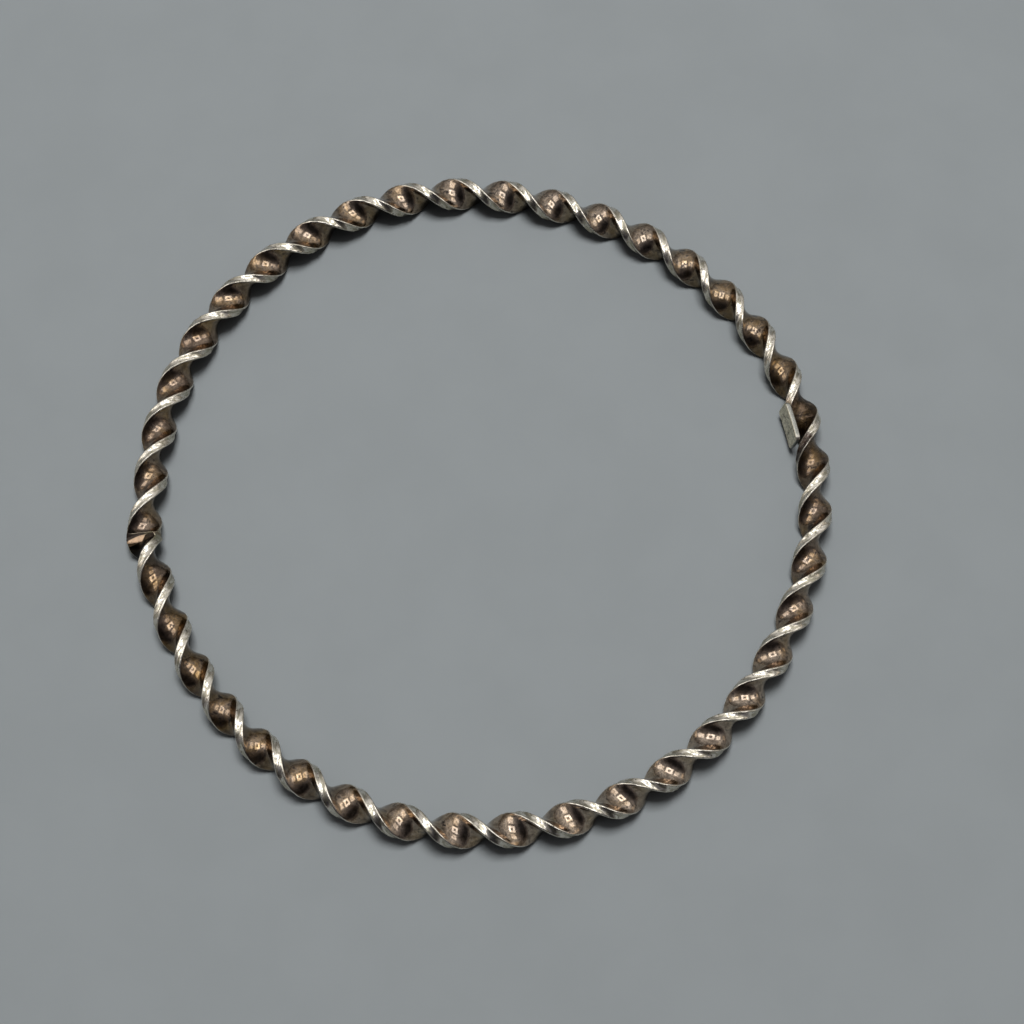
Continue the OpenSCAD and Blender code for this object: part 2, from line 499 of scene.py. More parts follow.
def plate_marks(points, strip, joint, plate):
    """Shares of the marks of soldering the plate: a dark stain beside its -Y end, a faint blush at the other.

    Each is whole close to its end of the plate, and eases away with the distance.
    """
    low_end = (0, -plate.length / 2 - 0.6 * MM, 0.9 * MM)
    high_end = (0, plate.length / 2, 0)
    ends = plate_place(np.array((low_end, high_end)), strip, joint, plate)
    from_low, from_high = (np.linalg.norm(points - end, axis=-1) for end in ends)
    return {
        "stain": 1 - ease(from_low, 1.6 * MM, 2.0 * MM),
        "blush": 1 - ease(from_high, 0.9 * MM, 1.7 * MM),
    }


def film_marks(angle, normal, strip, joint):
    """Shares of the charted film at each angle, and of what goes by how far the surface faces up.

    The satin is the square of the angle's cosine, 1 at +X and -X.
    """
    _, across, through = strip_axes(angle, strip, joint)
    upward = normal[:, 0] * across[..., 2] + normal[:, 1] * through[..., 2]
    charted = {"gold": GOLD, "spots": SPOTS, "pale": PALE, "dull": DULL}
    marks = {name: np.clip(smooth_value(TARNISH, angle, column), 0, 1) for name, column in charted.items()}
    # Darker where the strip doesn't face up: partly darker film, partly painted shade
    under_film_and_shade = smooth_value(TARNISH, angle, UNDER_FILM_AND_SHADE) * (1 - ease(upward, 0.55, 0.97))
    marks["dark"] = np.clip(smooth_value(TARNISH, angle, DARK) + under_film_and_shade, 0, 1)
    # Share of each point that faces down, where faces and edges are tinted darker: partly dirt, partly
    # painted shade
    marks["downward_dirt_and_shade"] = 1 - ease(upward, 0.1, 0.7)
    marks["satin"] = np.cos(np.radians(angle)) ** 2
    return marks


def map_strip(piece, run, length, strip):
    """Gives the strip its two UV maps, from each row's share of the ring and the lengths round the section.

    The skin is the surface's own lengths, in metres. The map for baking is the strip cut into equal runs
    that lie side by side, so that it fills a square.
    """
    row, column = np.mgrid[0:len(run), 0:len(length) - 1]
    last_run = np.append(run, 1.0)
    corners = ((row, column), (row, column + 1), (row + 1, column + 1), (row + 1, column))
    skin = [np.stack([last_run[i] * 2 * np.pi * strip.ring, length[j]], -1) for i, j in corners]
    set_map(piece, "skin", np.stack(skin, 2))
    runs = 5
    margin = 0.002
    own_run = np.minimum((run * runs).astype(int), runs - 1)[row]
    bake = []
    for i, j in corners:
        u = margin + (1 - 2 * margin) * (last_run[i] * runs - own_run)
        v = margin + (1 / runs - 2 * margin) * length[j] / length[-1] + own_run / runs
        bake.append(np.stack([u, v], -1))
    set_map(piece, "OFBake", np.clip(np.stack(bake, 2), 0, 1))


def build_strip(strip, joint, plate):
    """The twisted strip: its rounded section carried along the ring and dented by wear.

    Its rows are even round the ring, with more beside the joint. Each point holds its shares of the marks
    that the material reads: how far it is on a narrow edge or a corner, its nicks, and the rest by name.
    """
    joint_angle = np.degrees(joint.angle)
    rows, near_rows, near_span = 1360, 60, 2.5
    even = np.linspace(0, LAP, rows, endpoint=False)
    near = np.linspace(0, near_span, near_rows)
    angle = joint_angle + np.union1d(even, np.concatenate([near, LAP - near[1:]]))
    section, normal, length = rounded_outline(strip.width, strip.thickness, strip.corner, 14, 8, 5)
    run = ((angle - joint_angle) / LAP)[:, None]
    lap = (length[:-1] / length[-1])[None, :]
    narrow = np.clip((np.abs(section[:, 0]) - strip.width / 2 + strip.corner) / (0.6 * strip.corner), 0, 1)
    corner = np.abs(normal[:, 0] * normal[:, 1]) * 2
    dent, nick = strip_dents(run, lap, narrow, corner, strip.dents)
    x = section[:, 0] + dent * normal[:, 0]
    y = section[:, 1] + dent * normal[:, 1]
    points = carry(angle[:, None], x, y, strip, joint)
    grid = points.shape[:2]
    piece = make_piece("twisted_strip", points.reshape(-1, 3), closed_quads(*grid))
    marks = {
        "narrow": narrow,
        "corner": corner,
        "dent": np.clip(nick, 0, 1),
        **joint_marks(past_joint(angle, strip, joint)[:, None], section[:, 0]),
        **plate_marks(points, strip, joint, plate),
        **film_marks(angle[:, None], normal, strip, joint),
    }
    for name, value in marks.items():
        set_attribute(piece, name, np.broadcast_to(value, grid))
    map_strip(piece, run[:, 0], length, strip)
    return piece


def build_solder(strip, joint):
    """The run of solder: a collar over the joint, a closed loop along the strip carried round its section.

    Its outer side climbs over a thin ridge, lies a little proud of the strip with uneven lumps, and ends in
    a low lip. Ridge and lip are bell curves of the length past the collar's start and end, and the height
    is rounded down into the strip at both. Its inner side is sunk in the strip.
    """
    section, normal, length = rounded_outline(strip.width, strip.thickness, strip.corner, 110, 24, 8)
    lap = (length[:-1] / length[-1])[:, None]
    x, y = section[:, 0:1], section[:, 1:2]
    outer, inner = 56, 6
    along = np.concatenate([np.linspace(0, 1, outer), np.linspace(1, 0, inner + 2)[1:-1]])[None, :]
    on_top = np.concatenate([np.ones(outer), np.zeros(inner)])[None, :]
    # One wave makes both the start and the end uneven, and the end has it some points further round
    flow_depth, further_round = 0.03 * MM, 17
    flow = flow_depth * ripple(np.zeros(1), lap, 21, 9, (1, 0), (4, 14))
    start = collar_line(x, START) + flow
    end = collar_line(x, END) + np.roll(flow, further_round, 0)
    place = start + (end - start) * along
    ridge = bell(place, start + 0.08 * MM, 0.05 * MM) * (1 - ease(x, 0.7 * MM, 1.4 * MM))
    lip = bell(place, end - 0.06 * MM, 0.04 * MM) * ease(x, -0.4 * MM, -0.1 * MM)
    lip_height, rim_depth, inner_depth = 0.02 * MM, 0.02 * MM, 0.2 * MM
    lump_height = (0.004 + 0.03 * ease(-x, 0.6 * MM, 1.0 * MM)) * MM
    lump = np.clip(ripple(along * 0.5, lap, 22, 20, (1, 0), (4, 16)), -0.5, 1.5)
    rounding = window(place, start, start + 0.06 * MM, end - 0.05 * MM, end)
    height = joint.skin + joint.ridge * ridge + lip_height * lip + lump_height * lump
    height = height * rounding - rim_depth * (1 - rounding)
    height = np.where(on_top > 0, height, -inner_depth)

    angle = np.degrees(joint.angle + place / strip.ring)
    points = carry(angle, x + height * normal[:, 0:1], y + height * normal[:, 1:2], strip, joint)
    quads = closed_quads(len(section), along.shape[1])[:, ::-1]
    piece = make_piece("solder_run", points.reshape(-1, 3), quads)
    set_attribute(piece, "ridge", ridge * on_top)
    # Copper has spread on one half of the section, beyond a brim, and the bare strip before it is dark
    spread = ease(x, -1.2 * MM, -0.1 * MM)
    brim = np.maximum(x, 0) * 0.12 - 0.1 * MM
    spill = ease(place, brim, brim + 0.08 * MM)
    set_attribute(piece, "copper", spread * spill * on_top)
    set_attribute(piece, "shadow", spread * (1 - spill) * (1 - ridge))
    return piece


def build_plate(strip, joint, plate):
    """The plate: round-cornered outlines laid from the middle of one broad face, over the rim, to the other.

    Each outline is the plate's own, drawn in by the round of its edge or shrunk towards the middle, and both
    faces are bowed by the square of the length.
    """
    edge, corner_radius, pit_depth = 0.13 * MM, 0.4 * MM, 0.018 * MM
    outline, _, length = rounded_outline(plate.length, plate.height, corner_radius, 42, 26, 8)
    face_rings, round_rings = 16, 7
    shrink = np.linspace(0.04, 0.92, face_rings)
    bend = np.radians(np.linspace(0, 90, round_rings))
    half = np.array((plate.length, plate.height)) / 2
    inset = edge * (1 - np.cos(bend))[::-1]
    rim = 1 - inset[:, None] / half
    scale = np.vstack([np.stack([shrink, shrink], -1), rim])
    round_depth = 0.5 - (edge / plate.thickness) * (1 - np.sin(bend))[::-1]
    depth = np.concatenate([np.full(face_rings, 0.5), round_depth])
    scale = np.vstack([scale, scale[::-1]])
    depth = np.concatenate([depth, -depth[::-1]])
    flat = outline[None] * scale[:, None]
    # Shallow pits of a plain, hand-finished face, and a faint unevenness of the whole outline
    run, lap = flat[..., 0] / plate.length, flat[..., 1] / plate.height
    pits = np.clip(ripple(run, lap, 31, 40, (3, 0), (13, 8)) - 0.2, 0, 2)
    waver = ripple(np.zeros(1), length[:-1] / length[-1], 32, 8, (1, 0), (3, 7))
    waver_share = 0.002
    flat = flat * (1 + waver_share * waver)[None, :, None]
    inner = 1 - ease(np.maximum(np.abs(run), np.abs(lap)), 0.36, 0.46)
    inward = -np.sign(depth)[:, None] * pit_depth * pits * inner
    thick = depth[:, None] * plate.thickness + inward + plate.bow * (0.5 - 4 * run**2)
    rings, columns = thick.shape
    block = np.stack([thick, flat[..., 0], flat[..., 1]], -1).reshape(-1, 3)
    ends = np.array([(thick[0].mean(), 0, 0), (thick[-1].mean(), 0, 0)])
    points = plate_place(np.vstack([block, ends]), strip, joint, plate)

    row, column = np.mgrid[0:rings - 1, 0:columns]
    following = (column + 1) % columns
    grid = ((row, column), (row + 1, column), (row + 1, following), (row, following))
    quads = np.stack([i * columns + j for i, j in grid], -1).reshape(-1, 4)
    j = np.arange(columns)
    first = np.stack([np.full(columns, rings * columns), j, (j + 1) % columns], -1)
    last = (rings - 1) * columns
    second = np.stack([np.full(columns, rings * columns + 1), last + (j + 1) % columns, last + j], -1)
    piece = make_piece("soldered_plate", points, quads, np.vstack([first, second]))
    set_attribute(piece, "pits", np.append(np.clip(pits, 0, 1), (0.2, 0.2)))
    # Wear has polished the rim's top corner at its -Y end, which is also brightened there as a painted
    # highlight
    rim = np.broadcast_to(1 - ease(np.abs(depth), 0.3, 0.48)[:, None], thick.shape)
    corner = np.hypot(flat[..., 0] + plate.length / 2, flat[..., 1] - plate.height / 2)
    set_attribute(piece, "rim", np.append(rim, (0, 0)))
    set_attribute(piece, "polish_and_highlight", np.append(rim * bell(corner, 0, 0.45 * MM), (0, 0)))
    return piece


def fill(tree, sockets, values):
    """Fills sockets by name or number, each from another node's output or with a value of its own.

    A colour is given full alpha, as shader sockets want it.
    """
    for name, value in values.items():
        socket = sockets[name]
        if isinstance(value, bpy.types.NodeSocket):
            tree.links.new(value, socket)
        else:
            socket.default_value = (*value[:3], 1.0) if socket.type == "RGBA" else value


def node(tree, kind, inputs=None, **settings):
    """Adds a node, sets what the keywords name, and fills its inputs."""
    made = tree.nodes.new(kind)
    for name, value in settings.items():
        setattr(made, name, value)
    fill(tree, made.inputs, inputs or {})
    return made


def noise(tree, vector, scale, detail=3.0, roughness=0.55, distortion=0.0):
    """A noise texture's value on the given coordinates."""
    values = {"Vector": vector, "Scale": scale, "Detail": detail, "Roughness": roughness}
    values["Distortion"] = distortion
    return node(tree, "ShaderNodeTexNoise", values).outputs["Fac"]


def ramp(tree, value, low, high, start=0.0, stop=1.0):
    """Carries a value from low..high to start..stop, smoothly and held at both ends."""
    values = {"Value": value, "From Min": low, "From Max": high, "To Min": start, "To Max": stop}
    return node(tree, "ShaderNodeMapRange", values, interpolation_type="SMOOTHSTEP").outputs["Result"]


def math(tree, operation, first, second=0.0, third=0.0):
    """One sum of up to three numbers."""
    return node(tree, "ShaderNodeMath", {0: first, 1: second, 2: third}, operation=operation).outputs["Value"]


def times(tree, first, second):
    """The product of two numbers."""
    return math(tree, "MULTIPLY", first, second)


def scale_add(tree, value, scale, start):
    """A number scaled and added to a start."""
    return math(tree, "MULTIPLY_ADD", value, scale, start)


# The Mix node's sockets go by number, because those for numbers and for colours have the same names


def mix(tree, share, first, second):
    """One colour turned into another by a share from 0 to 1."""
    return node(tree, "ShaderNodeMix", {0: share, 6: first, 7: second}, data_type="RGBA").outputs[2]


def mix_numbers(tree, share, first, second):
    """One number turned into another by a share from 0 to 1."""
    return node(tree, "ShaderNodeMix", {0: share, 2: first, 3: second}).outputs[0]


def shaded(tree, colour, shade):
    """A colour made darker or lighter by a number."""
    return node(tree, "ShaderNodeVectorMath", {0: colour, "Scale": shade}, operation="SCALE").outputs[0]


def uneven_share(tree, share, cloud, spread):
    """A share that a cloud from 0 to 1 takes down or up by as much as the spread, held from 0 to 1."""
    shift = scale_add(tree, cloud, 2 * spread, -spread)
    return node(tree, "ShaderNodeClamp", {"Value": math(tree, "ADD", shift, share)}).outputs[0]


def attributes(tree, *names):
    """The numbers that the mesh holds under those names."""
    return [node(tree, "ShaderNodeAttribute", attribute_name=name).outputs["Fac"] for name in names]


FLOAT, VECTOR, COLOUR = "NodeSocketFloat", "NodeSocketVector", "NodeSocketColor"


def new_group(name, inputs, outputs):
    """An empty shader node group with named inputs and outputs, as (tree, what it's given, what it gives)."""
    tree = bpy.data.node_groups.new(name, "ShaderNodeTree")
    for direction, sockets in (("INPUT", inputs), ("OUTPUT", outputs)):
        for label, kind in sockets.items():
            tree.interface.new_socket(label, in_out=direction, socket_type=kind)
    return tree, tree.nodes.new("NodeGroupInput").outputs, tree.nodes.new("NodeGroupOutput").inputs


def metal_grain_group(name):
    """Fine grain of worn metal: a height for the bump, a speckle from 0 to 1 and a mask of its pits."""
    inputs = {"Position": VECTOR, "Grain Size": FLOAT, "Pits": FLOAT}
    tree, given, gives = new_group(name, inputs, {"Height": FLOAT, "Speckle": FLOAT, "Pit": FLOAT})
    scale = math(tree, "DIVIDE", 1.0, given["Grain Size"])
    fine = noise(tree, given["Position"], scale, 4.0, 0.65)
    coarse = noise(tree, given["Position"], times(tree, scale, 0.31), 2.0, 0.5)
    pit = times(tree, ramp(tree, coarse, 0.62, 0.74), given["Pits"])
    height = math(tree, "SUBTRACT", fine, pit)
    fill(tree, gives, {"Height": height, "Speckle": ramp(tree, fine, 0.35, 0.7), "Pit": pit})
    return tree


def fine_lines_group(name):
    """Fine lines drawn along a surface's map: a mask from 0 to 1 that is 1 on a line, and their height."""
    inputs = {"Map": VECTOR, "Line Width": FLOAT, "Stretch": FLOAT}
    tree, given, gives = new_group(name, inputs, {"Line": FLOAT, "Height": FLOAT})
    parts = node(tree, "ShaderNodeSeparateXYZ", {0: given["Map"]}).outputs
    along = math(tree, "DIVIDE", parts["X"], given["Stretch"])
    stretched = node(tree, "ShaderNodeCombineXYZ", {0: along, 1: parts["Y"]}).outputs[0]
    height = noise(tree, stretched, math(tree, "DIVIDE", 1.0, given["Line Width"]), 2.0, 0.5, 0.3)
    fill(tree, gives, {"Line": ramp(tree, height, 0.62, 0.7), "Height": height})
    return tree


def tarnish_group(name):
    """A tarnish film: brown, golden where thin, paler where rubbed, with black spots, and their mask."""
    inputs = {"Position": VECTOR}
    inputs.update(dict.fromkeys(("Brown", "Gold", "Pale", "Black"), COLOUR))
    inputs.update(dict.fromkeys(("Gold Share", "Pale Share", "Spot Share"), FLOAT))
    tree, given, gives = new_group(name, inputs, {"Color": COLOUR, "Spot": FLOAT})
    cloud = noise(tree, given["Position"], 420.0, 3.0, 0.55, 0.6)
    patch = noise(tree, given["Position"], 1400.0, 4.0, 0.6, 0.4)
    speck = noise(tree, given["Position"], 5600.0, 3.0, 0.6)
    gold = uneven_share(tree, given["Gold Share"], ramp(tree, cloud, 0.38, 0.62), 0.4)
    pale = uneven_share(tree, given["Pale Share"], ramp(tree, patch, 0.35, 0.65), 0.2)
    colour = mix(tree, gold, given["Brown"], given["Gold"])
    colour = mix(tree, pale, colour, given["Pale"])
    # A spot grows wherever the unevenness passes a limit, which more spots bring down
    mottle = scale_add(tree, patch, 0.7, times(tree, speck, 0.3))
    limit = scale_add(tree, given["Spot Share"], -0.14, 0.64)
    spot = ramp(tree, math(tree, "SUBTRACT", mottle, limit), -0.07, 0.1)
    fill(tree, gives, {"Color": mix(tree, spot, colour, given["Black"]), "Spot": spot})
    return tree


def edge_wear_group(name):
    """Where wear has broken a surface layer: the mask given, with an uneven border and breaks in it."""
    inputs = {"Position": VECTOR, "Mask": FLOAT, "Break Up": FLOAT}
    tree, given, gives = new_group(name, inputs, {"Wear": FLOAT})
    uneven = noise(tree, given["Position"], 2200.0, 4.0, 0.6)
    uneven = scale_add(tree, uneven, given["Break Up"], given["Mask"])
    worn = math(tree, "SUBTRACT", uneven, times(tree, given["Break Up"], 0.5))
    fill(tree, gives, {"Wear": ramp(tree, worn, 0.3, 0.75)})
    return tree


GROUPS = {
    "Metal Grain": metal_grain_group,
    "Fine Lines": fine_lines_group,
    "Tarnish Film": tarnish_group,
    "Edge Wear": edge_wear_group,
}


def place_group(tree, name, **inputs):
    """Places a shared group, which is made once, in a material with its own values. Returns its outputs.

    Each keyword names an input, with its spaces as underscores.
    """
    group = bpy.data.node_groups.get(name) or GROUPS[name](name)
    values = {label.replace("_", " "): value for label, value in inputs.items()}
    return node(tree, "ShaderNodeGroup", values, node_tree=group).outputs


def new_material(name):
    """An empty node material, as (material, its tree, its Principled shader, its object coordinates)."""
    material = bpy.data.materials.new(name)
    material.use_nodes = True
    tree = material.node_tree
    tree.nodes.clear()
    shader = node(tree, "ShaderNodeBsdfPrincipled", {"Metallic": 1.0})
    node(tree, "ShaderNodeOutputMaterial", {"Surface": shader.outputs["BSDF"]})
    return material, tree, shader, node(tree, "ShaderNodeTexCoord").outputs["Object"]


def surface(tree, shader, colour, roughness, height, strength, depth):
    """Gives the shader its colour and roughness, and a bump from the height."""
    bump = node(tree, "ShaderNodeBump", {"Strength": strength, "Distance": depth, "Height": height})
    values = {"Base Color": colour, "Roughness": roughness, "Normal": bump.outputs["Normal"]}
    fill(tree, shader.inputs, values)


def worn_edge(tree, finish, place, unrubbed, lines, blotch):
    """The strip's narrow edges: bright silver, clouded and scuffed, with what the heat has left on it.

    Returns the colour, the share of dull cloud over it and the mask of scuffs.
    """
    dent, smoke, soot, stain = attributes(tree, "dent", "smoke", "soot", "stain")
    blush, downward_dirt_and_shade = attributes(tree, "blush", "downward_dirt_and_shade")
    scuff = noise(tree, place, 2400.0, 4.0, 0.62)
    scuff = ramp(tree, scale_add(tree, dent, 0.12, scuff), 0.52, 0.66)
    pit = ramp(tree, noise(tree, place, 4200.0, 3.0, 0.6), 0.6, 0.67)
    cloud = times(tree, ramp(tree, blotch["Height"], 0.48, 0.58), 0.72)
    cloud = scale_add(tree, lines["Line"], 0.08, cloud)
    cloud = math(tree, "MAXIMUM", cloud, times(tree, scuff, 0.8))
    # Edges that face down are clouded towards olive grey: partly dirt, partly painted shade
    cloud = math(tree, "MAXIMUM", cloud, scale_add(tree, downward_dirt_and_shade, 0.55, times(tree, cloud, 0.5)))
    colour = mix(tree, times(tree, cloud, unrubbed), finish.silver, finish.scuff)
    layers = (
        (pit, 0.75, finish.black),
        (smoke, 0.9, finish.scuff),
        (soot, 0.7, finish.brown),
        (blush, 0.55, finish.solder),
    )
    for mask, share, layer in layers:
        colour = mix(tree, times(tree, mask, share), colour, layer)
    uneven = ramp(tree, noise(tree, place, 2600.0, 4.0, 0.65), 0.4, 0.6, 1.0, 0.9)
    stain = times(tree, times(tree, stain, unrubbed), uneven)
    return mix(tree, stain, colour, finish.stain), cloud, scuff


def tarnished_face(tree, finish, place, film, grain, dull):
    """The strip's broad faces: the film's colour, mottled, darker and yellower where they face down, partly
    dirt and partly painted shade, and darker where charted, partly with painted shade.
    """
    burn_and_shade, dark, downward_dirt_and_shade = attributes(tree, "burn_and_shade", "dark", "downward_dirt_and_shade")
    mottle = ramp(tree, noise(tree, place, 1400.0, 5.0, 0.75), 0.36, 0.62, 0.56, 1.38)
    shade = times(tree, scale_add(tree, grain["Speckle"], 0.42, 0.74), mottle)
    # Dull film, the charted darkness and the burn each darken the faces; the last two are partly painted
    # shade
    for mask, darkening in ((dull, 0.6), (dark, 0.5), (burn_and_shade, 0.92)):
        shade = times(tree, shade, scale_add(tree, mask, -darkening, 1.0))
    # A darker, yellower tint where the faces point down: partly dirt, partly painted shade
    dirt_and_shade_tint = (0.84, 0.81, 0.68)
    dirt_and_shade_tinted = node(tree, "ShaderNodeVectorMath", {0: film["Color"], 1: dirt_and_shade_tint}, operation="MULTIPLY").outputs[0]
    colour = shaded(tree, mix(tree, downward_dirt_and_shade, film["Color"], dirt_and_shade_tinted), shade)
    rubbed = ramp(tree, noise(tree, place, 1500.0, 4.0, 0.65, 0.4), 0.48, 0.66)
    rubbed = times(tree, times(tree, rubbed, dull), 0.4)
    rubbed = times(tree, rubbed, math(tree, "SUBTRACT", 1.0, burn_and_shade))
    return mix(tree, rubbed, colour, finish.solder)


def tarnished_silver(finish):
    """The strip: tarnished film on the broad faces, bright scuffed silver on the narrow edges and corners."""
    material, tree, shader, place = new_material("tarnished_silver")
    narrow, corner, satin = attributes(tree, "narrow", "corner", "satin")
    gold, pale, spots, dull = attributes(tree, "gold", "pale", "spots", "dull")
    grain = place_group(tree, "Metal Grain", Position=place, Grain_Size=0.11 * MM, Pits=0.6)
    film = place_group(
        tree, "Tarnish Film",
        Position=place, Brown=finish.brown, Gold=finish.gold, Pale=finish.pale, Black=finish.black,
        Gold_Share=gold, Pale_Share=pale, Spot_Share=spots,
    )
    skin = node(tree, "ShaderNodeUVMap", uv_map="skin").outputs["UV"]
    lines = place_group(tree, "Fine Lines", Map=skin, Line_Width=0.09 * MM, Stretch=4.5)
    blotch = place_group(tree, "Fine Lines", Map=skin, Line_Width=0.4 * MM, Stretch=1.7)
    wear = place_group(tree, "Edge Wear", Position=place, Mask=narrow, Break_Up=0.35)["Wear"]
    # Rubbing keeps half of the dull cloud and of the stain off the corners
    unrubbed = math(tree, "SUBTRACT", 1.0, times(tree, corner, 0.5))
    edge, cloud, scuff = worn_edge(tree, finish, place, unrubbed, lines, blotch)
    face = tarnished_face(tree, finish, place, film, grain, dull)

    face_rough = scale_add(tree, film["Spot"], 0.12, 0.11)
    face_rough = scale_add(tree, grain["Speckle"], 0.04, face_rough)
    face_rough = scale_add(tree, dull, 0.28, face_rough)
    edge_rough = scale_add(tree, satin, 0.1, scale_add(tree, cloud, 0.2, 0.13))
    rough = mix_numbers(tree, wear, face_rough, edge_rough)

    height = scale_add(tree, lines["Height"], 0.2, grain["Height"])
    height = math(tree, "SUBTRACT", height, times(tree, scuff, 0.6))
    height = times(tree, height, scale_add(tree, wear, 0.65, 0.35))
    surface(tree, shader, mix(tree, wear, face, edge), rough, height, 0.6, 0.005 * MM)
    return material


def coppery_solder(finish):
    """The solder: coppery where it spread, dark beside its pale, rubbed ridge, and dull grey elsewhere."""
    material, tree, shader, place = new_material("coppery_solder")
    ridge, copper, shadow = attributes(tree, "ridge", "copper", "shadow")
    grain = place_group(tree, "Metal Grain", Position=place, Grain_Size=0.08 * MM, Pits=1.0)
    rubbed = place_group(tree, "Edge Wear", Position=place, Mask=ridge, Break_Up=0.4)["Wear"]
    cloud = ramp(tree, noise(tree, place, 2600.0, 4.0, 0.6), 0.42, 0.66)
    copper_film = mix(tree, times(tree, cloud, 0.7), finish.solder, finish.brown)
    colour = mix(tree, shadow, finish.scuff, finish.black)
    colour = mix(tree, copper, colour, copper_film)
    colour = mix(tree, times(tree, rubbed, 0.6), colour, finish.pale)
    colour = mix(tree, times(tree, grain["Pit"], 0.7), colour, finish.black)
    rough = scale_add(tree, grain["Speckle"], 0.15, 0.3)
    surface(tree, shader, colour, rough, grain["Height"], 0.6, 0.008 * MM)
    return material


def plain_silver(finish):
    """The plate: silver with clouds of thin tarnish and dark flecks, and a grey rim, brightened at a corner
    by polish and a painted highlight.
    """
    material, tree, shader, place = new_material("plain_silver")
    grain = place_group(tree, "Metal Grain", Position=place, Grain_Size=0.12 * MM, Pits=0.3)
    pits, rim, polish_and_highlight = attributes(tree, "pits", "rim", "polish_and_highlight")
    cloud = ramp(tree, noise(tree, place, 2200.0, 4.0, 0.6, 0.8), 0.42, 0.6)
    pits = scale_add(tree, cloud, 0.6, times(tree, pits, 0.4))
    pits = times(tree, pits, scale_add(tree, rim, -0.8, 1.0))
    colour = mix(tree, times(tree, pits, 0.6), finish.plate, finish.scuff)
    fleck = ramp(tree, noise(tree, place, 3000.0, 3.0, 0.6, 0.5), 0.53, 0.64)
    fleck = times(tree, fleck, math(tree, "SUBTRACT", 0.7, rim))
    colour = mix(tree, math(tree, "MAXIMUM", fleck, 0.0), colour, finish.black)
    colour = mix(tree, times(tree, rim, 0.8), colour, finish.rim)
    # The rim's polished corner is mixed to bright silver, partly wear and partly a painted highlight
    colour = mix(tree, polish_and_highlight, colour, finish.silver)
    colour = shaded(tree, colour, scale_add(tree, grain["Speckle"], 0.45, 0.72))
    rough = scale_add(tree, pits, 0.2, 0.34)
    surface(tree, shader, colour, rough, grain["Height"], 0.7, 0.012 * MM)
    return material


def floor_material(stage):
    """The plain pale floor, with a faint unevenness in its grey."""
    material, tree, shader, place = new_material("pale_floor")
    cloud = ramp(tree, noise(tree, place, 90.0, 5.0, 0.6), 0.3, 0.7)
    shade = 0.96
    darker = [shade * channel for channel in stage.floor]
    colour = mix(tree, cloud, stage.floor, darker)
    values = {"Base Color": colour, "Metallic": 0.0, "Roughness": 0.6, "Specular IOR Level": 0.2}
    fill(tree, shader.inputs, values)
    return material


def lamp_direction(lean_x, lean_y):
    """Direction of a lamp that leans from overhead by one angle towards +X and by another towards +Y."""
    return Vector((np.tan(np.radians(lean_x)), np.tan(np.radians(lean_y)), 1.0)).normalized()


def add_lamp(name, lamp, brightness, lights_floor=False):
    """A soft rectangular lamp from a row of the lamps' table, which faces the origin at the lamps' distance.

    It is as large as its angles span there, and its power is four times its area times its glow and the
    brightness. It either lights the floor or shows in the metal.
    """
    size_x, size_y = (2 * LAMP_DISTANCE * np.tan(np.radians(lamp[span] / 2)) for span in (WIDE, DEEP))
    light = bpy.data.lights.new(name, "AREA")
    light.shape = "RECTANGLE"
    light.size, light.size_y = size_x, size_y
    light.energy = 4 * size_x * size_y * lamp[GLOW] * brightness
    light.color = Vector((1, 1, 1)).lerp(Vector((1, 0.82, 0.6)), lamp[AMBER])
    outward = lamp_direction(lamp[LEAN_X], lamp[LEAN_Y])
    side = (Vector((1, 0, 0)) - outward * outward.x).normalized()
    turn = Matrix((side, outward.cross(side), outward)).transposed()
    lamp_object = bpy.data.objects.new(name, light)
    lamp_object.matrix_world = Matrix.Translation(outward * LAMP_DISTANCE) @ turn.to_4x4()
    lamp_object.visible_camera = False
    lamp_object.visible_diffuse = lights_floor
    lamp_object.visible_glossy = not lights_floor
    bpy.context.scene.collection.objects.link(lamp_object)


def overhead_bars():
    """The overhead lamp as rows of the lamps' table: four bars round the square hole in its middle."""
    lean_x, lean_y, wide, deep, glow, amber = OVERHEAD
    side = (wide - OVERHEAD_HOLE) / 2
    end = (deep - OVERHEAD_HOLE) / 2
    off_x = (OVERHEAD_HOLE + side) / 2
    off_y = (OVERHEAD_HOLE + end) / 2
    return {
        "overhead_left": (lean_x - off_x, lean_y, side, deep, glow, amber),
        "overhead_right": (lean_x + off_x, lean_y, side, deep, glow, amber),
        "overhead_far": (lean_x, lean_y + off_y, OVERHEAD_HOLE, end, glow, amber),
        "overhead_near": (lean_x, lean_y - off_y, OVERHEAD_HOLE, end, glow, amber),
    }


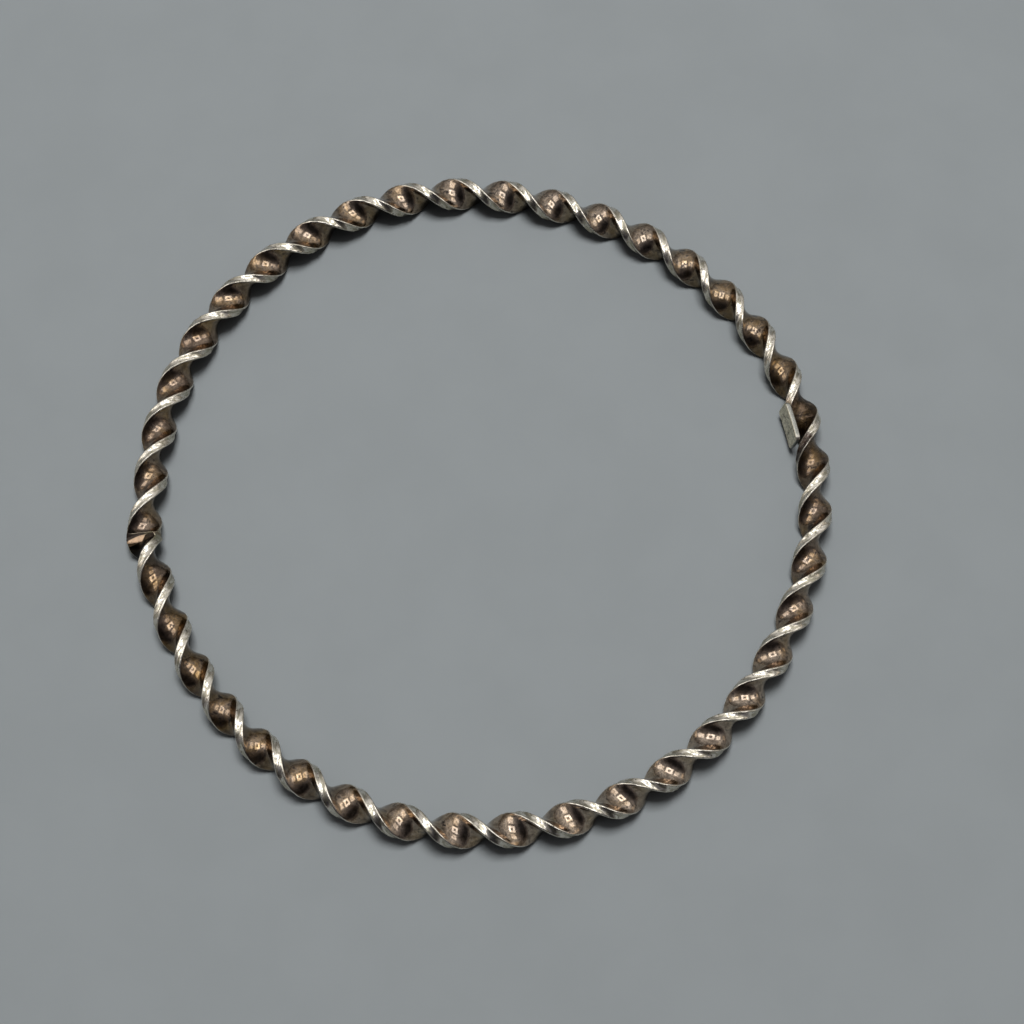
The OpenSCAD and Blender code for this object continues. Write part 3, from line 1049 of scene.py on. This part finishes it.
def add_world(stage):
    """A soft grey room: dimmer towards the horizon, and dark towards -Y, where the camera stands.

    A band high on the +Y side is brighter, and fades towards the horizon.
    """
    world = bpy.data.worlds.new("studio")
    world.use_nodes = True
    tree = world.node_tree
    tree.nodes.clear()
    direction = node(tree, "ShaderNodeTexCoord").outputs["Generated"]
    parts = node(tree, "ShaderNodeSeparateXYZ", {0: direction}).outputs
    near = ramp(tree, parts["Y"], -0.8, 0.08, 1.0, 0.0)
    dark = times(tree, near, ramp(tree, parts["Z"], -0.05, 0.3))
    room = ramp(tree, parts["Z"], 0.0, 0.5, 0.45 * stage.room, stage.room)
    slope = math(tree, "DIVIDE", parts["Y"], math(tree, "MAXIMUM", parts["Z"], 0.05))
    band = times(tree, ramp(tree, slope, 0.1, 0.55), ramp(tree, slope, 0.7, 2.2, 1.0, 0.0))
    band = times(tree, band, ramp(tree, parts["Z"], 0.15, 0.45))
    room = scale_add(tree, band, 0.65 * stage.room, room)
    strength = mix_numbers(tree, dark, room, stage.shade)
    colour = mix(tree, dark, (1.0, 0.985, 0.97), (1.0, 0.97, 1.08))
    background = node(tree, "ShaderNodeBackground", {"Color": colour, "Strength": strength})
    node(tree, "ShaderNodeOutputWorld", {"Surface": background.outputs["Background"]})
    bpy.context.scene.world = world


def add_floor(stage):
    """A plain floor under the bangle, four metres square."""
    half = 2.0
    corners = np.array([(-half, -half, 0), (half, -half, 0), (half, half, 0), (-half, half, 0)])
    floor = make_piece("floor", corners, np.array([(0, 1, 2, 3)]))
    floor.data.materials.append(floor_material(stage))


def add_camera(stage, strip, joint):
    """The camera, tilted from straight down towards +Y and rolled, at its distance from where it looks."""
    camera = bpy.data.objects.new("camera", bpy.data.cameras.new("camera"))
    camera.data.lens = stage.lens
    camera.data.sensor_width = 36.0
    camera.data.clip_start = 0.01
    turn = Euler((stage.camera_tilt, 0, 0)).to_matrix() @ Matrix.Rotation(stage.camera_roll, 3, "Z")
    middle = centring(strip, joint)
    aim = Vector(stage.aim) + Vector((middle[0], middle[1], 0))
    eye = aim + turn @ Vector((0, 0, stage.camera_distance))
    camera.matrix_world = Matrix.Translation(eye) @ turn.to_4x4()
    bpy.context.scene.collection.objects.link(camera)
    bpy.context.scene.camera = camera


def finish_piece(piece, material):
    """Gives a piece its material and says what it rides on, and hides the construction's band."""
    if len(piece.data.polygons) == 0:
        raise RuntimeError(f"{piece.name} came out with no faces")
    piece.data.materials.append(material)
    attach(piece, BODY)
    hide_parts(CAD_BAND)


class BANGLE_OT_strip(bpy.types.Operator):
    """Build the twisted strip with its tarnished faces and bright edges"""

    bl_idname = "bangle.strip"
    bl_label = "Twisted Strip"

    def execute(self, context):
        scene = context.scene
        piece = build_strip(scene.bangle_strip, scene.bangle_joint, scene.bangle_plate)
        finish_piece(piece, tarnished_silver(scene.bangle_finish))
        return {"FINISHED"}


class BANGLE_OT_solder(bpy.types.Operator):
    """Build the coppery run of solder over the strip's joint"""

    bl_idname = "bangle.solder"
    bl_label = "Solder Run"

    def execute(self, context):
        scene = context.scene
        piece = build_solder(scene.bangle_strip, scene.bangle_joint)
        finish_piece(piece, coppery_solder(scene.bangle_finish))
        return {"FINISHED"}


class BANGLE_OT_plate(bpy.types.Operator):
    """Build the small plain plate on the ring's inner side"""

    bl_idname = "bangle.plate"
    bl_label = "Soldered Plate"

    def execute(self, context):
        scene = context.scene
        piece = build_plate(scene.bangle_strip, scene.bangle_joint, scene.bangle_plate)
        finish_piece(piece, plain_silver(scene.bangle_finish))
        return {"FINISHED"}


class BANGLE_OT_stage(bpy.types.Operator):
    """Build the plain floor, the studio's light and the camera"""

    bl_idname = "bangle.stage"
    bl_label = "Stage"

    def execute(self, context):
        scene = context.scene
        stage = scene.bangle_stage
        scene.view_settings.view_transform = "Standard"
        add_camera(stage, scene.bangle_strip, scene.bangle_joint)
        add_floor(stage)
        add_world(stage)
        for name, lamp in overhead_bars().items():
            add_lamp(name, lamp, stage.glow)
        add_lamp("key", KEY, stage.glow, lights_floor=True)
        for number, lamp in enumerate(LAMPS):
            add_lamp(f"lamp_{number}", lamp, stage.glow)
        return {"FINISHED"}


class VIEW3D_PT_bangle(bpy.types.Panel):
    """Lists the bangle's builders and their settings"""

    bl_label = "Twisted Strip Bangle"
    bl_space_type = "VIEW_3D"
    bl_region_type = "UI"
    bl_category = "Bangle"

    def draw(self, context):
        for settings, operators in SECTIONS:
            box = self.layout.box()
            group = getattr(context.scene, settings)
            for name in group.__annotations__:
                box.prop(group, name)
            for operator in operators:
                box.operator(operator)


SETTINGS = {
    "bangle_strip": StripSettings,
    "bangle_joint": JointSettings,
    "bangle_plate": PlateSettings,
    "bangle_finish": FinishSettings,
    "bangle_stage": StageSettings,
}
SECTIONS = (
    ("bangle_stage", ("bangle.stage",)),
    ("bangle_strip", ("bangle.strip",)),
    ("bangle_joint", ("bangle.solder",)),
    ("bangle_plate", ("bangle.plate",)),
    ("bangle_finish", ()),
)
OPERATORS = (BANGLE_OT_stage, BANGLE_OT_strip, BANGLE_OT_solder, BANGLE_OT_plate)


def register():
    """Registers the settings, the operators and the panel."""
    for name, settings in SETTINGS.items():
        bpy.utils.register_class(settings)
        setattr(bpy.types.Scene, name, PointerProperty(type=settings))
    for operator in OPERATORS:
        bpy.utils.register_class(operator)
    bpy.utils.register_class(VIEW3D_PT_bangle)


def unregister():
    """Takes back what register did, in the opposite order."""
    bpy.utils.unregister_class(VIEW3D_PT_bangle)
    for operator in reversed(OPERATORS):
        bpy.utils.unregister_class(operator)
    for name, settings in reversed(SETTINGS.items()):
        delattr(bpy.types.Scene, name)
        bpy.utils.unregister_class(settings)


def main():
    """Registers the add-on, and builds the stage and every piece."""
    register()
    bpy.ops.bangle.stage()
    bpy.ops.bangle.strip()
    bpy.ops.bangle.solder()
    bpy.ops.bangle.plate()


if __name__ == "__main__":
    main()
